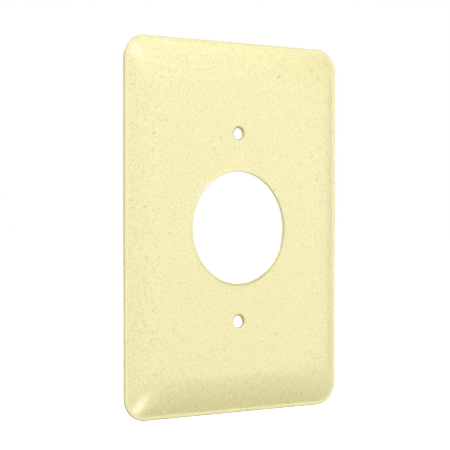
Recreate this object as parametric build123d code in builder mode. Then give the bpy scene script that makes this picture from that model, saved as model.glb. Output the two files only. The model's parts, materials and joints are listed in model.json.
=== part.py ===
from build123d import *
import math
import os

# Oversize single-gang wall plate for one round receptacle, pressed from steel sheet, with its
# two mounting screws kept on its back under a strip of clear tape.
#
# X is the plate's width, Z its height, and its face looks along -Y. The origin is the centre
# of the round opening, on the flat front face. All sizes are in millimetres.

# ---- Driving dimensions of the plate ----
plate_width = 83.4
plate_height = 119.2
plate_corner_radius = 7.5
sheet_thickness = 0.8

lip_width = 1.3  # flat lip all round the edge, in front view
bevel_width = 12.5  # from the lip in to the flat face
bevel_drop = 2.1  # from the flat face back to the lip
face_corner_radius = 9.0  # corners of the flat face
bevel_steps = 5  # outlines that carry the bevel's arc

lip_turn_radius = 0.9  # concave turn from the bevel into the lip
lip_edge_radius = 0.4  # rounded front edge of the lip
lip_back_radius = 0.15  # deburred back edge of the lip

opening_radius = 18.0  # round opening for the receptacle's face
rim_height = 0.12  # the opening's rim stands this far in front of the flat face
rim_land = 0.15  # the rim's crest, out from the opening's wall
rim_width = 0.75  # the whole rim, out from the opening's wall
rim_edge_radius = 0.08

screw_spacing = 60.325  # between the screw holes, 2 3/8 in
screw_hole_radius = 1.85
dimple_radius = 2.5  # mouth of the shallow dimple that the screw's head beds in
dimple_depth = 0.42
dimple_edge_radius = 0.2
collar_height = 0.35  # the dimple's collar above the plate's back
collar_tip_radius = 2.35
collar_root_radius = 3.0
cut_margin = 1.0  # how far the cutters stand in front of the face

# ---- Driving dimensions of the 6-32 x 5/8 in oval-head screws ----
thread_radius = 1.7525
thread_root_radius = 1.32
thread_pitch = 25.4 / 32
thread_turns = 16
screw_length = 15.875  # from the head's widest place to the tip
head_radius = 3.175
head_cone_half_angle = 41.0
head_land = 0.15
crown_height = 0.85
neck_radius = 1.45
tip_radius = 1.15
slot_width = 1.0
slot_depth = 1.15
slot_cut_length = 8.0

# ---- Where the screws lie on the plate's back, and the tape over them ----
screw_places = (-11.6, -20.6)  # X of the two screws
slot_turns = (25.0, 70.0)  # how far each slot is turned about its screw
screw_gap = 0.2  # between a screw's head and the plate's back
screw_tip_height = -45.2  # Z of the screws' tips
tape_thickness = 0.12
tape_glue = 0.02  # between the tape and the plate
tape_width = 12.6  # 1/2 in tape, laid across the screws
tape_clearance = 0.25  # between a thread and the tape over it
tape_stop_gap = 0.2  # between the tape's edge and the root of a head
tape_foot = 4.0  # from a screw's axis to where the tape meets the plate
tape_foot_radius = 0.8
tape_shoulder_radius = 1.85
tape_tab = 3.0  # flat length of tape beyond the outer feet

# ---- Derived sizes ----
plate_depth = bevel_drop + sheet_thickness
bevel_angle = 2 * math.atan(bevel_drop / bevel_width)
bevel_arc_radius = bevel_width / math.sin(bevel_angle)
lip_corner_radius = plate_corner_radius - lip_width
face_width = plate_width - 2 * (lip_width + bevel_width)
face_height = plate_height - 2 * (lip_width + bevel_width)

screw_y = sheet_thickness + screw_gap + head_radius
head_z = screw_tip_height + screw_length
cone_height = (head_radius - neck_radius) / math.tan(math.radians(head_cone_half_angle))
crown_top = head_land + crown_height  # above the head's widest place
first_crest = -screw_length + (thread_radius - tip_radius)
tape_top = head_z - cone_height - tape_stop_gap

os.makedirs("parts", exist_ok=True)


def bevel_outlines(front_y):
    """Outlines of the bevel, from the lip up to a flat face at Y = front_y."""
    outlines = []
    for step in range(bevel_steps, -1, -1):
        angle = bevel_angle * step / bevel_steps
        spread = bevel_arc_radius * math.sin(angle)
        drop = bevel_arc_radius * (1 - math.cos(angle))
        share = spread / bevel_width
        corner = face_corner_radius + (lip_corner_radius - face_corner_radius) * share
        with BuildSketch(Plane.XZ.offset(-(front_y + drop))) as outline:
            RectangleRounded(face_width + 2 * spread, face_height + 2 * spread, corner)
        outlines.append(outline.sketch.face())
    return outlines


# ---- Pressed plate: domed face, lip, round opening and two dimpled screw holes ----
with BuildPart() as wall_plate:
    loft(bevel_outlines(0))
    with BuildSketch(Plane.XZ.offset(-bevel_drop)):
        RectangleRounded(plate_width, plate_height, plate_corner_radius)
    extrude(amount=-sheet_thickness)
    lip = wall_plate.faces().filter_by(Axis.Y).group_by(Axis.Y)[1].sort_by(SortBy.AREA)[0]
    fillet(lip.inner_wires()[0].edges(), lip_turn_radius)
    lip = wall_plate.faces().filter_by(Axis.Y).group_by(Axis.Y)[1].sort_by(SortBy.AREA)[0]
    fillet(lip.outer_wire().edges(), lip_edge_radius)
    fillet(wall_plate.faces().sort_by(Axis.Y)[-1].edges(), lip_back_radius)

    # The hollow behind the face keeps the sheet's thickness
    loft(bevel_outlines(sheet_thickness), mode=Mode.SUBTRACT)

    # Each screw hole's metal is pushed back into a collar
    for hole_z in (screw_spacing / 2, -screw_spacing / 2):
        with BuildSketch(Plane.XY.offset(hole_z)):
            Polygon(
                (0, sheet_thickness / 2),
                (collar_root_radius, sheet_thickness / 2),
                (collar_root_radius, sheet_thickness),
                (collar_tip_radius, sheet_thickness + collar_height),
                (0, sheet_thickness + collar_height),
                align=None,
            )
        revolve(axis=Axis((0, 0, hole_z), (0, 1, 0)))
        with BuildSketch(Plane.XY.offset(hole_z)):
            Polygon(
                (0, -cut_margin),
                (dimple_radius, -cut_margin),
                (dimple_radius, 0),
                (screw_hole_radius, dimple_depth),
                (screw_hole_radius, plate_depth),
                (0, plate_depth),
                align=None,
            )
        revolve(axis=Axis((0, 0, hole_z), (0, 1, 0)), mode=Mode.SUBTRACT)

    # The opening is punched from behind, so its rim stands a little proud of the face
    with BuildSketch(Plane.XY):
        Polygon(
            (0, sheet_thickness / 2),
            (0, -rim_height),
            (opening_radius + rim_land, -rim_height),
            (opening_radius + rim_width, 0),
            (opening_radius + rim_width, sheet_thickness / 2),
            align=None,
        )
    revolve(axis=Axis.Y)
    with BuildSketch(Plane.XZ.offset(cut_margin)):
        Circle(opening_radius)
    extrude(amount=-(cut_margin + plate_depth), mode=Mode.SUBTRACT)
    crest = wall_plate.faces().sort_by(Axis.Y)[0]
    fillet(crest.inner_wires()[0].edges(), rim_edge_radius)

    # The dimples' mouths are eased into the face
    face = wall_plate.faces().filter_by(Axis.Y).sort_by(Axis.Y)[1]
    mouths = face.inner_wires().sort_by(SortBy.LENGTH)[:2]
    fillet([mouth.edge() for mouth in mouths], dimple_edge_radius)
wall_plate.part.label = "wall_plate"
export_step(wall_plate.part, "parts/wall_plate.step")


# ---- Two identical oval-head slotted screws, lying head up on the plate's back ----
for number, (screw_x, slot_turn) in enumerate(zip(screw_places, slot_turns), start=1):
    screw_axis = Axis((screw_x, screw_y, 0), (0, 0, 1))
    profile_plane = Plane(origin=(screw_x, screw_y, head_z), x_dir=(1, 0, 0), z_dir=(0, -1, 0))

    with BuildPart() as mounting_screw:
        with BuildSketch(profile_plane):
            with BuildLine():
                points = [(0, crown_top), (0, -screw_length), (tip_radius, -screw_length)]
                for turn in range(thread_turns):
                    crest = first_crest + turn * thread_pitch
                    points.append((thread_radius, crest))
                    points.append((thread_root_radius, crest + thread_pitch / 2))
                points.append((neck_radius, points[-1][1] + thread_pitch / 4))
                points.append((neck_radius, -cone_height))
                points.append((head_radius, 0))
                points.append((head_radius, head_land))
                Polyline(*points)
                TangentArc((0, crown_top), (head_radius, head_land), tangent=(1, 0))
            make_face()
        revolve(axis=screw_axis)

        with BuildSketch(Plane(origin=(screw_x, screw_y, head_z + crown_top), z_dir=(0, 0, 1))):
            Rectangle(slot_cut_length, slot_width, rotation=slot_turn)
        extrude(amount=-slot_depth, mode=Mode.SUBTRACT)
    mounting_screw.part.label = f"mounting_screw_{number}"
    export_step(mounting_screw.part, f"parts/mounting_screw_{number}.step")


# ---- Clear tape: flat on the plate, with a hump over each screw's thread ----
tape_y = sheet_thickness + tape_glue + tape_thickness / 2
hump_radius = thread_radius + tape_clearance + tape_thickness / 2
hump_top = screw_y + hump_radius
foot_to_axis = math.hypot(tape_foot, screw_y - tape_y)
flank_angle = math.atan2(screw_y - tape_y, tape_foot) + math.asin(hump_radius / foot_to_axis)
shoulder = tape_foot - (hump_top - tape_y) / math.tan(flank_angle)

tape_points = [(screw_places[0] + tape_foot + tape_tab, tape_y)]
tape_radii = []
for screw_x in screw_places:
    tape_points.append((screw_x + tape_foot, tape_y))
    tape_points.append((screw_x + shoulder, hump_top))
    tape_points.append((screw_x - shoulder, hump_top))
    tape_points.append((screw_x - tape_foot, tape_y))
    tape_radii += [tape_foot_radius, tape_shoulder_radius, tape_shoulder_radius, tape_foot_radius]
tape_points.append((screw_places[1] - tape_foot - tape_tab, tape_y))

with BuildPart() as screw_tape:
    with BuildSketch(Plane.XY.offset(tape_top)):
        with BuildLine():
            FilletPolyline(*tape_points, radius=tape_radii)
        trace(line_width=tape_thickness)
    extrude(amount=-tape_width)
screw_tape.part.label = "screw_tape"
export_step(screw_tape.part, "parts/screw_tape.step")
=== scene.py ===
import json
import math

import bmesh
import bpy
from mathutils import Matrix, Vector, noise
from mathutils.geometry import delaunay_2d_cdt


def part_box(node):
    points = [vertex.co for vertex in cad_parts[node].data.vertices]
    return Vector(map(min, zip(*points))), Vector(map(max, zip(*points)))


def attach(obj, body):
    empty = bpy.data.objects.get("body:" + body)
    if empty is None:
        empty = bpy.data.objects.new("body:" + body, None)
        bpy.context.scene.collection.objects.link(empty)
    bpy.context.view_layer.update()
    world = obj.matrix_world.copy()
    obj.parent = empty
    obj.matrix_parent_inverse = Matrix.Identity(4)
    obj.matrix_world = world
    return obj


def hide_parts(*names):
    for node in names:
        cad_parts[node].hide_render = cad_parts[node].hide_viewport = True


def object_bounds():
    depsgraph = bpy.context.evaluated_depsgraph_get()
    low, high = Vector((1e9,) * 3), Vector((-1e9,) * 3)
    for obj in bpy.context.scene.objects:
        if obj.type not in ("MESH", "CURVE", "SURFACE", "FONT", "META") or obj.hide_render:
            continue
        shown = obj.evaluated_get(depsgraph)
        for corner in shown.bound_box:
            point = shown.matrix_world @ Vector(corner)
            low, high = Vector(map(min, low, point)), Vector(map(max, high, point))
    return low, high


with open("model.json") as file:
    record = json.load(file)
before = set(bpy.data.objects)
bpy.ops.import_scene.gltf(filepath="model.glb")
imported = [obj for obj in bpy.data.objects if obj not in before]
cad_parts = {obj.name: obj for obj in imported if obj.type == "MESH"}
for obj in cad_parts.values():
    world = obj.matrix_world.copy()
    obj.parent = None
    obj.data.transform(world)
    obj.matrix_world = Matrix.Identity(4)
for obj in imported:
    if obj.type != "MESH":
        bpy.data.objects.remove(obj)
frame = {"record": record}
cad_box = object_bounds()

# A pressed steel wall plate in ivory textured paint, with its two screws under clear tape on its
# back. Everything is in metres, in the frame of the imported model: X across, Z up, face towards -Y.

MM = 0.001
WELD = 1e-6  # vertices closer than this become one


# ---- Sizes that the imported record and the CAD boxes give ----

mounts = {mount["name"]: mount for mount in frame["record"]["mounts"]}
plate_low, plate_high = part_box("wall_plate")
half_width = plate_high.x
half_height = plate_high.z
plate_back = plate_high.y
sheet = mounts["device_opening"]["dims"]["length_mm"] * MM
opening_radius = mounts["device_opening"]["dims"]["r_mm"] * MM
hole_radius = mounts["screw_holes"]["dims"]["hole_r_mm"] * MM
hole_height = mounts["screw_holes"]["dims"]["spacing_y_mm"] * MM / 2

# ---- The plate's own profile, as in its CAD solid but for the rim's wider crest ----

CORNER_RADIUS = 7.5 * MM
LIP_WIDTH = 1.3 * MM
BEVEL_WIDTH = 12.5 * MM
FACE_CORNER_RADIUS = 9.0 * MM
LIP_TURN_RADIUS = 0.9 * MM
LIP_EDGE_RADIUS = 0.4 * MM
LIP_BACK_RADIUS = 0.15 * MM
RIM_CREST = 0.3 * MM  # twice the CAD's, so the rim's slope is steeper
RIM_WIDTH = 0.75 * MM
RIM_EDGE_RADIUS = 0.08 * MM
DIMPLE_RADIUS = 2.5 * MM
DIMPLE_DEPTH = 0.42 * MM
DIMPLE_EDGE = 0.2 * MM  # how far the rounding of its mouth reaches to each side
COLLAR_HEIGHT = 0.35 * MM
COLLAR_TIP_RADIUS = 2.35 * MM
COLLAR_ROOT_RADIUS = 3.0 * MM

# Painted shade: the paint's colour is darkened on the lower right side of the opening's rim, the side
# turned away from the light
RIM_PAINTED_SHADE = 0.45
RIM_SHADE_SIDE = (0.57, -0.82)  # in X and Z
RIM_SHADE_GAIN = 1.5
RIM_SHADE_REACH = 0.45 * MM

bevel_drop = plate_back - sheet
bevel_angle = 2 * math.atan(bevel_drop / BEVEL_WIDTH)
bevel_radius = BEVEL_WIDTH / math.sin(bevel_angle)
lip_corner_radius = CORNER_RADIUS - LIP_WIDTH
corner_shrink = (FACE_CORNER_RADIUS - lip_corner_radius) / BEVEL_WIDTH
face_half_width = half_width - LIP_WIDTH - BEVEL_WIDTH
face_half_height = half_height - LIP_WIDTH - BEVEL_WIDTH
rim_height = -plate_low.y


def bevel_drop_at(spread):
    """How far the bevel has fallen back at a distance from the flat face's outline."""
    spread = max(0.0, min(spread, BEVEL_WIDTH))
    return bevel_radius - math.sqrt(bevel_radius ** 2 - spread ** 2)


def spread_at(x, z):
    """Which of the nested outlines passes through a point: 0 on the flat face's own outline."""
    out_x = abs(x) - face_half_width
    out_z = abs(z) - face_half_height
    spread = max(out_x, out_z)
    to_x = out_x + FACE_CORNER_RADIUS
    to_z = out_z + FACE_CORNER_RADIUS
    drift = 1 + corner_shrink
    if to_x > drift * spread and to_z > drift * spread:
        a = 2 * drift ** 2 - corner_shrink ** 2
        b = drift * (to_x + to_z) - corner_shrink * FACE_CORNER_RADIUS
        c = to_x ** 2 + to_z ** 2 - FACE_CORNER_RADIUS ** 2
        spread = (b - math.sqrt(max(b * b - a * c, 0))) / a
    return spread


def outline(spread, step):
    """The nested outline at a spread, counter-clockwise in X and Z.

    Its points are about a step apart at the lip, and every spread has equally many.
    """
    half_x = face_half_width + spread
    half_z = face_half_height + spread
    if spread <= BEVEL_WIDTH:
        radius = FACE_CORNER_RADIUS - corner_shrink * spread
    else:
        radius = lip_corner_radius + spread - BEVEL_WIDTH
    across = round(2 * (half_width - CORNER_RADIUS) / step)
    upward = round(2 * (half_height - CORNER_RADIUS) / step)
    corner = round(math.pi / 2 * CORNER_RADIUS / step)
    points = []
    for quarter, count in enumerate((upward, across, upward, across)):
        turn = quarter * math.pi / 2
        sign_x = 1 if quarter in (0, 3) else -1
        sign_z = 1 if quarter in (0, 1) else -1
        centre = (sign_x * (half_x - radius), sign_z * (half_z - radius))
        straight = 2 * ((half_z if quarter in (0, 2) else half_x) - radius)
        along = (-math.sin(turn), math.cos(turn))
        start = (
            centre[0] + radius * math.cos(turn) - along[0] * straight,
            centre[1] + radius * math.sin(turn) - along[1] * straight,
        )
        for i in range(count):
            share = i / count
            x = start[0] + along[0] * straight * share
            z = start[1] + along[1] * straight * share
            points.append((x, z))
        for i in range(corner):
            angle = turn + math.pi / 2 * i / corner
            points.append((centre[0] + radius * math.cos(angle), centre[1] + radius * math.sin(angle)))
    return points


def circle(radius, height, count):
    """A circle about a hole's axis, counter-clockwise in X and Z."""
    turns = (math.tau * i / count for i in range(count))
    return [(radius * math.cos(t), height + radius * math.sin(t)) for t in turns]


# ---- Paint relief: the plate's surface is never quite flat ----

PAINT_DEPTH = 0.03 * MM
WAVE_DEPTH = 0.05 * MM
BACK_WAVE_DEPTH = 0.015 * MM
FRONT_STEP = 0.43 * MM
BACK_STEP = 1.0 * MM
FADE = 0.8 * MM


def wave(x, z):
    """The slow waviness of rolled and pressed sheet, from 0 to 1."""
    return 0.5 + 0.5 * noise.noise(Vector((x / (31 * MM), z / (37 * MM), 4.2)))


def paint_relief(x, z):
    """The paint's orange-peel grain, about from 0 to 1.

    It is about a millimetre across, and drawn out along one diagonal.
    """
    along = (x + z) / (1.7 * MM)
    across = (x - z) / (1.15 * MM)
    coarse = noise.noise(Vector((along, across, 1.3)))
    fine = noise.noise(Vector((along * 1.9 + 7, across * 1.9, 8.1)))
    return 0.5 + 0.30 * coarse + 0.25 * fine


def edge_fade(x, z, spread, clear_spread):
    """0 at the lip, the opening and the screw holes, and 1 a little way off."""
    away = min(
        clear_spread - spread,
        math.hypot(x, z) - opening_radius - RIM_WIDTH,
        math.hypot(x, abs(z) - hole_height) - COLLAR_ROOT_RADIUS,
    )
    share = max(0.0, min(away / FADE, 1.0))
    return share * share * (3 - 2 * share)


def surface(loops, step, depth_at, inside):
    """A triangulated sheet between loops of points, as a list of vertices and of triangles."""
    points = []
    edges = []
    for loop in loops:
        first = len(points)
        points.extend(Vector(p) for p in loop)
        edges.extend((first + i, first + (i + 1) % len(loop)) for i in range(len(loop)))
    row_height = step * math.sqrt(3) / 2
    rows = int(half_height / row_height)
    columns = int(half_width / step)
    for row in range(-rows, rows + 1):
        for column in range(-columns, columns + 1):
            x = (column + 0.5 * (row % 2)) * step
            z = row * row_height
            if inside(x, z, 0.55 * step):
                points.append(Vector((x, z)))
    flat, _, faces, _, _, _ = delaunay_2d_cdt(points, edges, [], 1, 1e-9)
    faces = [f for f in faces if inside(*(sum((flat[i] for i in f), Vector((0, 0))) / 3), 0)]
    vertices = [(p.x, depth_at(p.x, p.y), p.y) for p in flat]
    return vertices, faces


def sheet_test(clear_spread, opening, hole):
    """A test of whether a point lies on the sheet, at least a margin away from its loops."""

    def inside(x, z, margin):
        if math.hypot(x, z) < opening + margin:
            return False
        if math.hypot(x, abs(z) - hole_height) < hole + margin:
            return False
        return spread_at(x, z) < clear_spread - margin

    return inside


def add_sheet(mesh, vertices, faces, material):
    """Adds a triangulated sheet to a bmesh."""
    made = [mesh.verts.new(v) for v in vertices]
    for face in faces:
        mesh.faces.new([made[i] for i in face]).material_index = material


def add_rings(mesh, rings, material, wear=None):
    """Adds closed rings of vertices to a bmesh, each joined to the next by quads.

    wear is each ring's share of thin paint, from 0 to 1.
    """
    worn = mesh.verts.layers.float.get("wear") or mesh.verts.layers.float.new("wear")
    made = []
    for ring, share in zip(rings, wear or [0.0] * len(rings)):
        made.append([mesh.verts.new(v) for v in ring])
        for vertex in made[-1]:
            vertex[worn] = share
    for inner, outer in zip(made, made[1:]):
        count = len(inner)
        for i in range(count):
            j = (i + 1) % count
            mesh.faces.new((inner[i], inner[j], outer[j], outer[i])).material_index = material


def arc(centre, radius, start, end, steps):
    """Points on an arc in a profile, angles in degrees."""
    turns = (math.radians(start + (end - start) * i / steps) for i in range(steps + 1))
    return [(centre[0] + radius * math.cos(t), centre[1] + radius * math.sin(t)) for t in turns]


def lip_profile():
    """(spread, depth, wear) from the bevel, over the lip and its edge, to the hollow behind."""
    turn_angle = math.degrees(bevel_angle)
    turn_reach = LIP_TURN_RADIUS * math.tan(bevel_angle / 2)
    turn_centre = (BEVEL_WIDTH + turn_reach, bevel_drop - LIP_TURN_RADIUS)
    outside = BEVEL_WIDTH + LIP_WIDTH
    turn = arc(turn_centre, LIP_TURN_RADIUS, 90 + turn_angle, 90, 5)
    flat_start = turn[-1][0]
    flat_end = outside - LIP_EDGE_RADIUS
    flat = [(flat_start + (flat_end - flat_start) * i / 3, bevel_drop) for i in (1, 2)]
    edge = arc((flat_end, bevel_drop + LIP_EDGE_RADIUS), LIP_EDGE_RADIUS, -90, 0, 7)
    back = arc((outside - LIP_BACK_RADIUS, plate_back - LIP_BACK_RADIUS), LIP_BACK_RADIUS, 0, 90, 3)
    inner = [(BEVEL_WIDTH + 0.6 * LIP_WIDTH, plate_back), (BEVEL_WIDTH, plate_back)]
    profile = [(s, y, 0.0) for s, y in turn + flat]
    profile += [(s, y, 0.5 * i / 7) for i, (s, y) in enumerate(edge)]
    profile += [(s, y, 0.5 - 0.1 * i) for i, (s, y) in enumerate(back)]
    return profile + [(s, y, 0.0) for s, y in inner]


def opening_profile():
    """(radius, depth, wear) over the opening's raised rim and down its wall."""
    steps = 7
    crest = opening_radius + RIM_CREST
    slope = RIM_WIDTH - RIM_CREST
    profile = []
    for i in range(steps + 1):
        share = i / steps
        rise = share * share * (3 - 2 * share)
        profile.append((crest + slope * (1 - share), -rim_height * rise, 0.2 * share * (1 - share)))
    edge_centre = (opening_radius + RIM_EDGE_RADIUS, RIM_EDGE_RADIUS - rim_height)
    edge = arc(edge_centre, RIM_EDGE_RADIUS, -90, -180, 4)
    profile += [(r, y, 0.0) for r, y in edge]
    return profile + [(opening_radius, 0.5 * sheet, 0.0), (opening_radius, sheet, 0.0)]


def hole_profile():
    """(radius, depth, wear) from a screw hole's dimple, through the hole, to the root of its collar."""
    collar_end = sheet + COLLAR_HEIGHT
    slope = math.atan2(DIMPLE_DEPTH, DIMPLE_RADIUS - hole_radius)
    profile = []
    for i in range(5):
        reach = DIMPLE_EDGE * (2 - i) / 2
        drop = (DIMPLE_EDGE - reach) ** 2 / (4 * DIMPLE_EDGE) * math.tan(slope)
        profile.append((DIMPLE_RADIUS + reach, drop, 0.0))
    return profile + [
        (hole_radius + 0.12 * MM, DIMPLE_DEPTH - 0.1 * MM, 0.7),
        (hole_radius + 0.03 * MM, DIMPLE_DEPTH, 1.0),
        (hole_radius, DIMPLE_DEPTH + 0.12 * MM, 0.9),
        (hole_radius, DIMPLE_DEPTH + 0.25 * MM, 0.05),
        (hole_radius, collar_end - 0.06 * MM, 0.05),
        (hole_radius + 0.05 * MM, collar_end, 1.0),
        (COLLAR_TIP_RADIUS - 0.1 * MM, collar_end, 0.6),
        (COLLAR_TIP_RADIUS, collar_end - 0.08 * MM, 0.4),
        (COLLAR_ROOT_RADIUS - 0.1 * MM, sheet + 0.04 * MM, 0.1),
        (COLLAR_ROOT_RADIUS, sheet, 0.0),
    ]


def make_plate():
    """The pressed plate, with the paint's relief on its face and a smoother back."""
    opening_count = 260
    hole_count = 56
    lip = lip_profile()
    opening = opening_profile()
    hole = hole_profile()
    front_spread = lip[0][0]
    front_inside = sheet_test(front_spread, opening[0][0], hole[0][0])
    back_inside = sheet_test(BEVEL_WIDTH, opening_radius, COLLAR_ROOT_RADIUS)

    def front_depth(x, z):
        spread = spread_at(x, z)
        fade = edge_fade(x, z, spread, front_spread)
        relief = WAVE_DEPTH * wave(x, z) + PAINT_DEPTH * paint_relief(x, z)
        return bevel_drop_at(spread) + fade * relief

    def back_depth(x, z):
        spread = spread_at(x, z)
        fade = edge_fade(x, z, spread, BEVEL_WIDTH)
        return sheet + bevel_drop_at(spread) + fade * BACK_WAVE_DEPTH * wave(x, z)

    def holes(profile_point, count):
        return [circle(profile_point[0], height, count) for height in (hole_height, -hole_height)]

    mesh = bmesh.new()
    worn = mesh.verts.layers.float.new("wear")
    loops = [outline(front_spread, FRONT_STEP), circle(opening[0][0], 0, opening_count)]
    loops += holes(hole[0], hole_count)
    add_sheet(mesh, *surface(loops, FRONT_STEP, front_depth, front_inside), 0)
    loops = [outline(BEVEL_WIDTH, FRONT_STEP), circle(opening_radius, 0, opening_count)]
    loops += holes(hole[-1], hole_count)
    add_sheet(mesh, *surface(loops, BACK_STEP, back_depth, back_inside), 1)

    def rings(profile, loop):
        made = [[(x, y, z) for x, z in loop(size)] for size, y, _ in profile]
        add_rings(mesh, made, 0, [wear for _, _, wear in profile])

    rings(lip, lambda size: outline(size, FRONT_STEP))
    rings(opening, lambda size: circle(size, 0, opening_count))
    for height in (hole_height, -hole_height):
        rings(hole, lambda size: circle(size, height, hole_count))
    # Painted shade: on the front of the opening's rim, the lower right side gets a share of the wear
    # attribute, which darkens its colour the same way the paint's thin edges are darkened
    for vertex in mesh.verts:
        radius = math.hypot(vertex.co.x, vertex.co.z)
        if vertex.co.y < 0 and radius < opening_radius + RIM_SHADE_REACH:
            side = (RIM_SHADE_SIDE[0] * vertex.co.x + RIM_SHADE_SIDE[1] * vertex.co.z) / radius
            vertex[worn] = RIM_PAINTED_SHADE * max(0.0, min(RIM_SHADE_GAIN * side, 1.0))
    bmesh.ops.remove_doubles(mesh, verts=mesh.verts, dist=WELD)
    bmesh.ops.recalc_face_normals(mesh, faces=mesh.faces)
    return finish_mesh(mesh, "ivory_wall_plate", 38)


def finish_mesh(mesh, name, sharp_degrees):
    """An object of the bmesh, smooth but for edges sharper than an angle."""
    data = bpy.data.meshes.new(name)
    mesh.to_mesh(data)
    mesh.free()
    data.polygons.foreach_set("use_smooth", [True] * len(data.polygons))
    data.set_sharp_from_angle(angle=math.radians(sharp_degrees))
    piece = bpy.data.objects.new(name, data)
    bpy.context.scene.collection.objects.link(piece)
    return piece


# ---- The two screws and the tape over them ----

SCREW_LENGTH = 15.875 * MM
THREAD_RADIUS = 1.7525 * MM
THREAD_ROOT_RADIUS = 1.32 * MM
THREAD_PITCH = 25.4 / 32 * MM
THREAD_FLAT = 0.08  # share of the pitch that is flat, at the crest and at the root
NECK_RADIUS = 1.45 * MM
NECK_START = -2.77 * MM
TIP_RADIUS = 1.15 * MM
HEAD_RADIUS = 3.17 * MM  # a hair inside the CAD's, to stay in its box
HEAD_CONE = math.radians(41)
HEAD_LAND = 0.15 * MM
CROWN_HEIGHT = 0.85 * MM
SLOT_WIDTH = 1.0 * MM
SLOT_DEPTH = 1.15 * MM
SLOT_TAPER = 0.04  # the slot is this share wider at its top and narrower at its floor
SLOT_CUT_LENGTH = 8 * MM
SLOT_CUT_TOP = 2 * MM
SLOT_WEAR = 0.85
SLOT_TURNS = {"mounting_screw_1": 25, "mounting_screw_2": 70}

# The film lies within the thickness of the tape's CAD solid
FILM = 0.08 * MM
TAPE_GLUE = 0.03 * MM
TAPE_CLEARANCE = 0.29 * MM
TAPE_FOOT = 4.0 * MM
TAPE_FOOT_RADIUS = 0.8 * MM
TAPE_SHOULDER_RADIUS = 1.85 * MM
TAPE_TAB = 3.0 * MM
TOOTH_PITCH = 1.15 * MM
TOOTH_SLOPE = 0.62 * MM
TOOTH_REACH = 2.4 * MM  # how far in from an end the teeth still pull the film
CREASE_DEPTH = 0.075 * MM
CREASE_LIMIT = 0.02 * MM  # creases may not stand out further than this
CREASE_START = 0.6 * MM  # height above the plate at which creases are at their full depth


def thread_surface(columns, steps):
    """A single-start helical thread from the screw's tip to its neck, as rows of (x, y, z)."""
    rows = round(SCREW_LENGTH / THREAD_PITCH) * steps
    grid = []
    for row in range(-steps, rows + 1):
        line = []
        for column in range(columns + 1):
            share = column / columns
            raw = -SCREW_LENGTH + THREAD_PITCH * (row / steps + share)
            z = max(-SCREW_LENGTH, min(raw, NECK_START))
            phase = (z + SCREW_LENGTH) / THREAD_PITCH - share
            from_crest = max(2 * abs(phase % 1 - 0.5) - THREAD_FLAT, 0)
            rise = 1 - min(from_crest / (1 - 2 * THREAD_FLAT), 1)
            radius = THREAD_ROOT_RADIUS + (THREAD_RADIUS - THREAD_ROOT_RADIUS) * rise
            run_out = max(0.0, min((z - NECK_START) / THREAD_PITCH + 1, 1.0))
            radius += (NECK_RADIUS - radius) * run_out
            radius = min(radius, TIP_RADIUS + z + SCREW_LENGTH)
            angle = math.tau * (column % columns) / columns
            line.append((radius * math.cos(angle), radius * math.sin(angle), z))
        grid.append(line)
    return grid


def head_profile():
    """(radius, height, wear) of the screw from its neck, up the cone and over the oval crown."""
    cone_height = (HEAD_RADIUS - NECK_RADIUS) / math.tan(HEAD_CONE)
    crown_radius = (HEAD_RADIUS ** 2 + CROWN_HEIGHT ** 2) / (2 * CROWN_HEIGHT)
    profile = [(NECK_RADIUS, NECK_START, 0), (NECK_RADIUS, -cone_height - 0.1 * MM, 0)]
    profile.append((NECK_RADIUS + 0.05 * MM, -cone_height + 0.03 * MM, 0))
    for i in range(1, 6):
        share = 0.04 + 0.92 * i / 5
        radius = NECK_RADIUS + (HEAD_RADIUS - NECK_RADIUS) * share
        profile.append((radius, cone_height * (share - 1), 0))
    profile.append((HEAD_RADIUS, 0.03 * MM, 0.5))
    profile.append((HEAD_RADIUS, HEAD_LAND - 0.03 * MM, 0.5))
    crown_top = HEAD_LAND + CROWN_HEIGHT - 0.005 * MM
    crown_rings = 13
    for i in range(1, crown_rings):
        radius = HEAD_RADIUS * (1 - i / crown_rings) - 0.02 * MM
        fall = crown_radius - math.sqrt(crown_radius ** 2 - radius ** 2)
        profile.append((radius, crown_top - fall, 0.3 if i == 1 else 0))
    return profile


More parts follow.
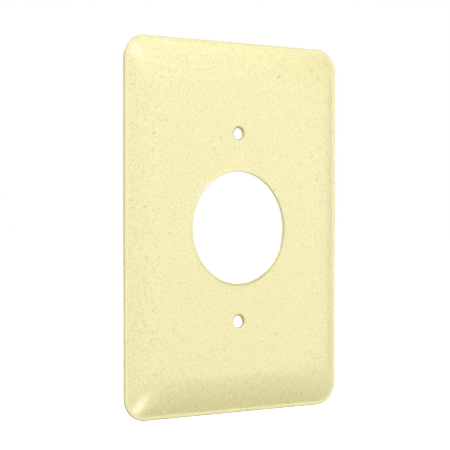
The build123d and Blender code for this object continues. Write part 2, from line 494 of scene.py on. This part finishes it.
def make_screw(node_name, head_material, shank_material):
    """A 6-32 oval-head slotted screw with a helical thread, in the place of its CAD node."""
    low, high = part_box(node_name)
    columns = 48
    mesh = bmesh.new()
    mesh.verts.layers.float.new("wear")
    grid = [[mesh.verts.new(place) for place in line] for line in thread_surface(columns, 8)]
    for lower, upper in zip(grid, grid[1:]):
        for i in range(columns):
            mesh.faces.new((lower[i], lower[i + 1], upper[i + 1], upper[i])).material_index = 1
    profile = head_profile()
    tip = [(TIP_RADIUS, -SCREW_LENGTH, 0), (0.75 * TIP_RADIUS, -SCREW_LENGTH + 0.02 * MM, 0)]

    def ring(radius, height):
        return [(x, y, height) for x, y in circle(radius, 0, columns)]

    add_rings(mesh, [ring(r, z) for r, z, _ in profile[:3]], 1)
    add_rings(mesh, [ring(r, z) for r, z, _ in profile[2:]], 0, [wear for _, _, wear in profile[2:]])
    add_rings(mesh, [ring(r, z) for r, z, _ in tip], 1)
    bmesh.ops.remove_doubles(mesh, verts=mesh.verts, dist=WELD)
    bmesh.ops.dissolve_degenerate(mesh, edges=mesh.edges, dist=1e-7)
    ends = [e for e in mesh.edges if e.is_boundary]
    bmesh.ops.holes_fill(mesh, edges=ends, sides=columns)
    bmesh.ops.recalc_face_normals(mesh, faces=mesh.faces)

    slot = bmesh.new()
    bmesh.ops.create_cube(slot, size=1)
    floor_height = HEAD_LAND + CROWN_HEIGHT - SLOT_DEPTH
    for vertex in slot.verts:
        upper = vertex.co.z > 0
        vertex.co.x *= SLOT_CUT_LENGTH
        vertex.co.y *= SLOT_WIDTH * (1 + SLOT_TAPER if upper else 1 - SLOT_TAPER)
        vertex.co.z = SLOT_CUT_TOP if upper else floor_height
    lengthwise = [e for e in slot.edges if abs(e.verts[0].co.x - e.verts[1].co.x) > MM]
    bmesh.ops.subdivide_edges(slot, edges=lengthwise, cuts=15)
    turn = Matrix.Rotation(math.radians(SLOT_TURNS[node_name]), 4, "Z")
    bmesh.ops.transform(slot, matrix=turn, verts=slot.verts)
    bmesh.ops.recalc_face_normals(slot, faces=slot.faces)
    cutter = finish_mesh(slot, "slot_cutter", 30)

    screw = finish_mesh(mesh, "painted_" + node_name, 35)
    for material in (head_material, shank_material):
        screw.data.materials.append(material)
        cutter.data.materials.append(material)
    cut = screw.modifiers.new("slot", "BOOLEAN")
    cut.operation = "DIFFERENCE"
    cut.solver = "EXACT"
    cut.material_mode = "INDEX"
    cut.object = cutter
    evaluated = screw.evaluated_get(bpy.context.evaluated_depsgraph_get())
    shaped = bpy.data.meshes.new_from_object(evaluated)
    screw.modifiers.clear()
    screw.data = shaped
    bpy.data.objects.remove(cutter)

    mesh = bmesh.new()
    mesh.from_mesh(shaped)
    worn = mesh.verts.layers.float.get("wear") or mesh.verts.layers.float.new("wear")
    for vertex in mesh.verts:
        across = abs((turn.inverted() @ vertex.co).y)
        if vertex.co.z > floor_height - 0.01 * MM and across < 0.54 * SLOT_WIDTH:
            vertex[worn] = SLOT_WEAR
    mesh.to_mesh(shaped)
    mesh.free()
    shaped.polygons.foreach_set("use_smooth", [True] * len(shaped.polygons))
    shaped.set_sharp_from_angle(angle=math.radians(35))
    screw.location = ((low.x + high.x) / 2, (low.y + high.y) / 2, low.z + SCREW_LENGTH)
    return screw


def rounded_path(points, radii, step):
    """A path of straights and arcs past corner points, its places at most a step apart."""
    places = [Vector(points[0])]
    for before, corner, after, radius in zip(points, points[1:], points[2:], radii):
        before, corner, after = Vector(before), Vector(corner), Vector(after)
        towards = (before - corner).normalized()
        onwards = (after - corner).normalized()
        half = towards.angle(onwards) / 2
        centre = corner + (towards + onwards).normalized() * radius / math.sin(half)
        reach = radius / math.tan(half)
        first = corner + towards * reach - centre
        turn = first.angle_signed(corner + onwards * reach - centre)
        count = max(3, round(abs(turn) * radius / (0.5 * step)))
        for i in range(count + 1):
            spoke = first.copy()
            spoke.rotate(Matrix.Rotation(-turn * i / count, 2))
            places.append(centre + spoke)
    places.append(Vector(points[-1]))
    filled = [places[0]]
    for place in places[1:]:
        gap = (place - filled[-1]).length
        count = max(1, math.ceil(gap / step))
        start = filled[-1]
        filled.extend(start.lerp(place, (i + 1) / count) for i in range(count))
    return filled


def tape_path():
    """The tape's middle line in X and Y, flat on the plate's back but for a hump over each screw."""
    places = []
    for node_name in SLOT_TURNS:
        low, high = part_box(node_name)
        places.append(((low.x + high.x) / 2, (low.y + high.y) / 2))
    flat = sheet + TAPE_GLUE + FILM / 2
    hump = THREAD_RADIUS + TAPE_CLEARANCE + FILM / 2
    axis = places[0][1]
    flank = math.atan2(axis - flat, TAPE_FOOT) + math.asin(hump / math.hypot(TAPE_FOOT, axis - flat))
    shoulder = TAPE_FOOT - (axis + hump - flat) / math.tan(flank)
    points = [(places[0][0] + TAPE_FOOT + TAPE_TAB, flat)]
    radii = []
    for x, _ in places:
        points += [(x + TAPE_FOOT, flat), (x + shoulder, axis + hump)]
        points += [(x - shoulder, axis + hump), (x - TAPE_FOOT, flat)]
        radii += [TAPE_FOOT_RADIUS, TAPE_SHOULDER_RADIUS, TAPE_SHOULDER_RADIUS, TAPE_FOOT_RADIUS]
    points.append((places[1][0] - TAPE_FOOT - TAPE_TAB, flat))
    return rounded_path(points, radii, 0.22 * MM)


def crease(length, z):
    """The film's fine creases, at a length along the tape and a height."""
    slant = length / (0.5 * MM) + z / (2 * MM)
    broad = noise.noise(Vector((length / (1.1 * MM), z / (6.5 * MM), 3.7)))
    return broad + 0.6 * noise.noise(Vector((slant, z / (3 * MM), 9.2)))


def make_tape():
    """A strip of film with saw-cut ends and fine creases, pressed down beside each screw."""
    low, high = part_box("screw_tape")
    path = tape_path()
    rows = 56
    lengths = [0.0]
    for first, second in zip(path, path[1:]):
        lengths.append(lengths[-1] + (second - first).length)
    total = lengths[-1]
    flat = sheet + TAPE_GLUE + FILM / 2
    mesh = bmesh.new()
    sides = {-1: [], 1: []}
    for i, place in enumerate(path):
        before = path[max(i - 1, 0)]
        after = path[min(i + 1, len(path) - 1)]
        along = (after - before).normalized()
        out = Vector((along.y, -along.x))
        if out.y < 0:
            out = -out
        raised = max(0.0, min((place.y - flat) / CREASE_START, 1.0))
        for side, line in sides.items():
            row_points = []
            for row in range(rows + 1):
                share = row / rows
                z = low.z + (high.z - low.z) * share
                tooth = abs((z / TOOTH_PITCH) % 1 - 0.5) * TOOTH_SLOPE
                from_end = min(lengths[i], total - lengths[i])
                pull = tooth * max(0.0, 1 - from_end / TOOTH_REACH)
                inward = 1 if lengths[i] > total / 2 else -1
                lift = CREASE_DEPTH * crease(lengths[i], z) * raised * (1 - 0.3 * raised)
                point = place + out * (side * FILM / 2 + min(lift, CREASE_LIMIT))
                row_points.append(mesh.verts.new((point.x + inward * pull, point.y, z)))
            line.append(row_points)
    for side, line in sides.items():
        for first, second in zip(line, line[1:]):
            for row in range(rows):
                mesh.faces.new((first[row], first[row + 1], second[row + 1], second[row]))
    near, far = sides[-1], sides[1]
    for i in range(len(path) - 1):
        for row in (0, rows):
            mesh.faces.new((near[i][row], near[i + 1][row], far[i + 1][row], far[i][row]))
    for i in (0, len(path) - 1):
        for row in range(rows):
            mesh.faces.new((near[i][row], near[i][row + 1], far[i][row + 1], far[i][row]))
    bmesh.ops.recalc_face_normals(mesh, faces=mesh.faces)
    return finish_mesh(mesh, "clear_tape_strip", 60)


# ---- Materials ----


class Shader:
    """A material's node tree, with short calls for adding and joining nodes."""

    def __init__(self, name):
        self.material = bpy.data.materials.new(name)
        self.material.use_nodes = True
        self.tree = self.material.node_tree
        self.tree.nodes.clear()
        self.surface = self.tree.nodes.new("ShaderNodeBsdfPrincipled")
        output = self.tree.nodes.new("ShaderNodeOutputMaterial")
        self.tree.links.new(self.surface.outputs["BSDF"], output.inputs["Surface"])
        self.place = self.add("TexCoord").outputs["Object"]

    def add(self, kind, settings=None, **inputs):
        made = self.tree.nodes.new("ShaderNode" + kind)
        for name, value in (settings or {}).items():
            setattr(made, name, value)
        for name, value in inputs.items():
            self.put(made, name.replace("_", " "), value)
        return made

    def put(self, node, name, value):
        socket = node.inputs[int(name)] if name.isdigit() else node.inputs[name]
        if isinstance(value, bpy.types.NodeSocket):
            self.tree.links.new(value, socket)
        else:
            socket.default_value = value

    def set(self, **inputs):
        for name, value in inputs.items():
            self.put(self.surface, name.replace("_", " "), value)

    def noise(self, size, detail=2.0, roughness=0.5, distortion=0.0, place=None):
        """Noise whose features are about a size across, in metres."""
        made = self.add("TexNoise", Vector=place or self.place, Scale=1 / size, Detail=detail)
        made.inputs["Roughness"].default_value = roughness
        made.inputs["Distortion"].default_value = distortion
        return made.outputs["Fac"]

    def fit(self, value, low, high, to_low=0.0, to_high=1.0):
        """A value from one range spread over another, and kept within it."""
        made = self.add("MapRange", Value=value)
        limits = {"From Min": low, "From Max": high, "To Min": to_low, "To Max": to_high}
        for name, number in limits.items():
            made.inputs[name].default_value = number
        return made.outputs["Result"]

    def mix(self, share, first, second, blend="MIX"):
        made = self.add("Mix", {"data_type": "RGBA", "blend_type": blend})
        for number, value in ((0, share), (6, first), (7, second)):
            socket = made.inputs[number]
            if isinstance(value, bpy.types.NodeSocket):
                self.tree.links.new(value, socket)
            else:
                socket.default_value = value
        return made.outputs[2]

    def maths(self, operation, first, second):
        made = self.add("Math", {"operation": operation})
        self.put(made, "0", first)
        self.put(made, "1", second)
        return made.outputs[0]

    def stretched(self, rotation, scale):
        """The object's coordinates turned and stretched, for a grain with a direction."""
        inputs = {"Vector": self.place, "Rotation": rotation, "Scale": scale}
        made = self.add("Mapping", {"vector_type": "TEXTURE"}, **inputs)
        return made.outputs["Vector"]

    def bump(self, *layers):
        """A normal from layers of (height, depth in metres)."""
        normal = None
        for height, depth in layers:
            made = self.add("Bump", Height=height, Distance=depth)
            made.inputs["Strength"].default_value = 1.0
            if normal is not None:
                self.tree.links.new(normal, made.inputs["Normal"])
            normal = made.outputs["Normal"]
        self.put(self.surface, "Normal", normal)


def ivory_paint():
    """Satin ivory paint, finely pitted, slowly changing in shade, thin on punched edges, and with
    painted shade on the lower right of the opening's rim.
    """
    shader = Shader("ivory_textured_paint")
    diagonal = shader.stretched((0, math.radians(45), 0), (1.0, 1.0, 1.5))
    grain = shader.noise(0.52 * MM, 1.5, 0.5, 0.2, diagonal)
    pits = shader.noise(1.0 * MM, 2, 0.6, 0.5, diagonal)
    fine = shader.noise(0.3 * MM, 2, 0.5)
    cloud = shader.noise(14 * MM, 3, 0.55)
    wear = shader.add("Attribute", {"attribute_name": "wear"}).outputs["Fac"]

    light = (0.82, 0.765, 0.405, 1)
    deep = (0.700, 0.640, 0.285, 1)
    colour = shader.mix(shader.fit(grain, 0.26, 0.60), deep, light)
    colour = shader.mix(shader.fit(cloud, 0.3, 0.75, 0.0, 0.2), colour, (0.78, 0.71, 0.39, 1))
    colour = shader.mix(shader.fit(pits, 0.62, 0.74, 0.0, 0.6), colour, (0.52, 0.45, 0.22, 1))
    # The wear attribute darkens the colour towards dark olive: it is thin paint on punched edges, and
    # painted shade on the lower right of the opening's rim
    thin = shader.maths("MULTIPLY", wear, shader.fit(pits, 0.2, 0.6, 0.75, 1.0))
    colour = shader.mix(thin, colour, (0.36, 0.31, 0.13, 1))
    shader.set(Base_Color=colour, Roughness=shader.fit(fine, 0.3, 0.7, 0.27, 0.38))
    shader.set(Coat_Weight=0.45, Coat_Roughness=0.14, Coat_IOR=1.5)
    shader.bump((grain, 0.03 * MM), (fine, 0.008 * MM))
    return shader.material


def back_paint():
    """The plate's back: a thin coat of the same ivory over grey primer."""
    shader = Shader("thin_ivory_over_primer")
    cloud = shader.noise(17 * MM, 4, 0.6)
    mist = shader.noise(0.5 * MM, 3, 0.6)
    thin = shader.maths("MULTIPLY", shader.fit(cloud, 0.35, 0.7), shader.fit(mist, 0.35, 0.62))
    paint, primer = (0.70, 0.65, 0.38, 1), (0.42, 0.42, 0.38, 1)
    colour = shader.mix(shader.fit(thin, 0.0, 1.0, 0.0, 0.55), paint, primer)
    shader.set(Base_Color=colour, Roughness=shader.fit(mist, 0.3, 0.7, 0.45, 0.62))
    shader.bump((mist, 0.012 * MM))
    return shader.material


def screw_paint():
    """The screws' ivory paint, smoother than the plate's and rubbed thin on its edges."""
    shader = Shader("ivory_screw_paint")
    peel = shader.noise(0.7 * MM, 2, 0.5)
    scuff = shader.noise(0.35 * MM, 4, 0.65, 1.2)
    wear = shader.add("Attribute", {"attribute_name": "wear"}).outputs["Fac"]
    colour = shader.mix(shader.fit(peel, 0.3, 0.7), (0.72, 0.665, 0.365, 1), (0.81, 0.755, 0.42, 1))
    rubbed = shader.maths("MULTIPLY", wear, shader.fit(scuff, 0.42, 0.58))
    colour = shader.mix(rubbed, colour, (0.36, 0.35, 0.31, 1))
    shader.set(Base_Color=colour, Roughness=shader.fit(scuff, 0.3, 0.7, 0.25, 0.42))
    shader.bump((peel, 0.02 * MM), (scuff, 0.004 * MM))
    return shader.material


def zinc():
    """Bright zinc plating with a faint haze and rolling marks along the thread."""
    shader = Shader("bright_zinc")
    haze = shader.noise(1.6 * MM, 4, 0.65)
    marks = shader.noise(0.12 * MM, 3, 0.6, 0.0, shader.stretched((0, 0, 0), (7.0, 7.0, 1.0)))
    colour = shader.mix(shader.fit(haze, 0.3, 0.7), (0.50, 0.51, 0.53, 1), (0.68, 0.69, 0.70, 1))
    hazy = shader.fit(haze, 0.3, 0.7, 0.0, 0.12)
    rough = shader.maths("ADD", hazy, shader.fit(marks, 0.3, 0.7, 0.22, 0.36))
    shader.set(Base_Color=colour, Metallic=1.0, Roughness=rough)
    shader.bump((marks, 0.006 * MM))
    return shader.material


def clear_film():
    """Clear packing film: nearly see-through, with a yellow cast, streaks of glue and small bubbles."""
    shader = Shader("clear_film")
    streak = shader.noise(0.9 * MM, 3, 0.6, 0.3, shader.stretched((0, 0, 0), (5.0, 1.0, 1.0)))
    bubbles = shader.noise(1.4 * MM, 2, 0.5, 0.4)
    bubble = shader.fit(bubbles, 0.64, 0.70)
    colour = shader.mix(shader.fit(streak, 0.3, 0.7), (0.80, 0.76, 0.60, 1), (0.90, 0.88, 0.78, 1))
    streaky = shader.fit(streak, 0.3, 0.75, 0.14, 0.32)
    milky = shader.maths("ADD", streaky, shader.fit(bubbles, 0.60, 0.70, 0.0, 0.25))
    shader.set(Base_Color=colour, Alpha=milky, Roughness=shader.fit(streak, 0.3, 0.7, 0.08, 0.22))
    shader.bump((streak, 0.012 * MM), (bubble, 0.02 * MM))
    return shader.material


plate = make_plate()
plate.data.materials.append(ivory_paint())
plate.data.materials.append(back_paint())
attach(plate, "plate")
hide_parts("wall_plate")

head_paint = screw_paint()
shank_zinc = zinc()
for node_name, body in (("mounting_screw_1", "screw_1"), ("mounting_screw_2", "screw_2")):
    screw = make_screw(node_name, head_paint, shank_zinc)
    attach(screw, body)
    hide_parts(node_name)

tape = make_tape()
tape.data.materials.append(clear_film())
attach(tape, "plate")
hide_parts("screw_tape")


# ---- Stage: camera, world, lights and floor ----

CAMERA_LENS = 113.9
CAMERA_SENSOR = 36
CAMERA_TURN = math.radians(-35.31)
CAMERA_TILT = math.radians(0.22)
CAMERA_DISTANCE = 456.9 * MM
CAMERA_ASIDE = -4.556 * MM
CAMERA_ABOVE = 0.839 * MM


def direction(azimuth, elevation):
    """The unit vector from the object towards a place round it, azimuth 0 being in front of its face."""
    return Vector((
        math.sin(azimuth) * math.cos(elevation),
        -math.cos(azimuth) * math.cos(elevation),
        math.sin(elevation),
    ))


def add_camera():
    back = direction(CAMERA_TURN, CAMERA_TILT)
    aside = Vector((math.cos(CAMERA_TURN), math.sin(CAMERA_TURN), 0))
    above = back.cross(aside)
    lens = bpy.data.cameras.new("camera")
    lens.lens = CAMERA_LENS
    lens.sensor_width = CAMERA_SENSOR
    camera = bpy.data.objects.new("camera", lens)
    camera.location = back * CAMERA_DISTANCE + aside * CAMERA_ASIDE + above * CAMERA_ABOVE
    camera.rotation_mode = "QUATERNION"
    camera.rotation_quaternion = back.to_track_quat("Z", "Y")
    bpy.context.scene.collection.objects.link(camera)
    bpy.context.scene.camera = camera


def add_softbox(name, azimuth, elevation, width, height, strength, distance=1.0):
    """A soft light facing the plate's middle, from a direction in degrees.

    strength is the light that it gives there, in W/m2.
    """
    light = bpy.data.lights.new(name, "AREA")
    light.shape = "RECTANGLE"
    light.size = width
    light.size_y = height
    light.energy = math.pi * distance ** 2 * strength
    lamp = bpy.data.objects.new(name, light)
    towards = direction(math.radians(azimuth), math.radians(elevation))
    lamp.location = towards * distance
    lamp.rotation_mode = "QUATERNION"
    lamp.rotation_quaternion = towards.to_track_quat("Z", "Y")
    bpy.context.scene.collection.objects.link(lamp)


def add_world():
    """White to the camera; a soft light, weaker from below, with a bright backdrop behind the plate."""
    world = bpy.data.worlds.new("studio")
    bpy.context.scene.world = world
    world.use_nodes = True
    tree = world.node_tree
    tree.nodes.clear()
    place = tree.nodes.new("ShaderNodeTexCoord")
    split = tree.nodes.new("ShaderNodeSeparateXYZ")

    def ramp(axis, low, high, dark, bright):
        made = tree.nodes.new("ShaderNodeMapRange")
        limits = {"From Min": low, "From Max": high, "To Min": dark, "To Max": bright}
        for name, number in limits.items():
            made.inputs[name].default_value = number
        tree.links.new(split.outputs[axis], made.inputs["Value"])
        return made.outputs["Result"]

    brighter = tree.nodes.new("ShaderNodeMath")
    brighter.operation = "MAXIMUM"
    path = tree.nodes.new("ShaderNodeLightPath")
    soft = tree.nodes.new("ShaderNodeBackground")
    white = tree.nodes.new("ShaderNodeBackground")
    white.inputs["Color"].default_value = (1, 1, 1, 1)
    choose = tree.nodes.new("ShaderNodeMixShader")
    output = tree.nodes.new("ShaderNodeOutputWorld")
    tree.links.new(place.outputs["Generated"], split.inputs[0])
    tree.links.new(ramp("Z", -0.3, 0.3, 0.07, 0.37), brighter.inputs[0])
    tree.links.new(ramp("Y", 0.0, 0.25, 0.0, 0.85), brighter.inputs[1])
    tree.links.new(brighter.outputs[0], soft.inputs["Strength"])
    tree.links.new(path.outputs["Is Camera Ray"], choose.inputs[0])
    tree.links.new(soft.outputs[0], choose.inputs[1])
    tree.links.new(white.outputs[0], choose.inputs[2])
    tree.links.new(choose.outputs[0], output.inputs["Surface"])


def add_floor():
    """A pale floor that lights nothing itself, so that the plate keeps its shading."""
    size = 3.0
    mesh = bmesh.new()
    bmesh.ops.create_grid(mesh, x_segments=2, y_segments=2, size=size)
    data = bpy.data.meshes.new("floor")
    mesh.to_mesh(data)
    mesh.free()
    floor = bpy.data.objects.new("floor", data)
    floor.location.z = cad_box[0].z
    floor.visible_diffuse = False
    floor.visible_glossy = False
    floor.visible_shadow = False
    shader = Shader("pale_floor")
    shader.set(Base_Color=(0.8, 0.8, 0.8, 1), Roughness=0.9)
    shader.set(Emission_Color=(1, 1, 1, 1), Emission_Strength=0.75)
    data.materials.append(shader.material)
    bpy.context.scene.collection.objects.link(floor)


bpy.context.scene.view_settings.view_transform = "Standard"
add_camera()
add_world()
add_floor()
add_softbox("front_strip", 30, 0, 1.65, 0.48, 1.40)
add_softbox("front_upper", 10, 28, 1.1, 0.6, 1.02)
add_softbox("high_right", 36, 46, 0.8, 0.4, 0.36)
add_softbox("left_wall", -66, 12, 1.0, 0.9, 1.0)
add_softbox("left_front", -26, 12, 0.5, 0.9, 0.32)
add_softbox("top", -20, 60, 1.2, 0.6, 0.40)
add_softbox("low_left", -96, -25, 0.8, 0.8, 0.5)
add_softbox("low_glint", 16.5, -25.4, 0.13, 0.17, 0.30)
add_softbox("high_glint", 11.5, 24.5, 0.17, 0.13, 0.24)
add_softbox("back_key", 205, 40, 0.6, 0.6, 1.3)
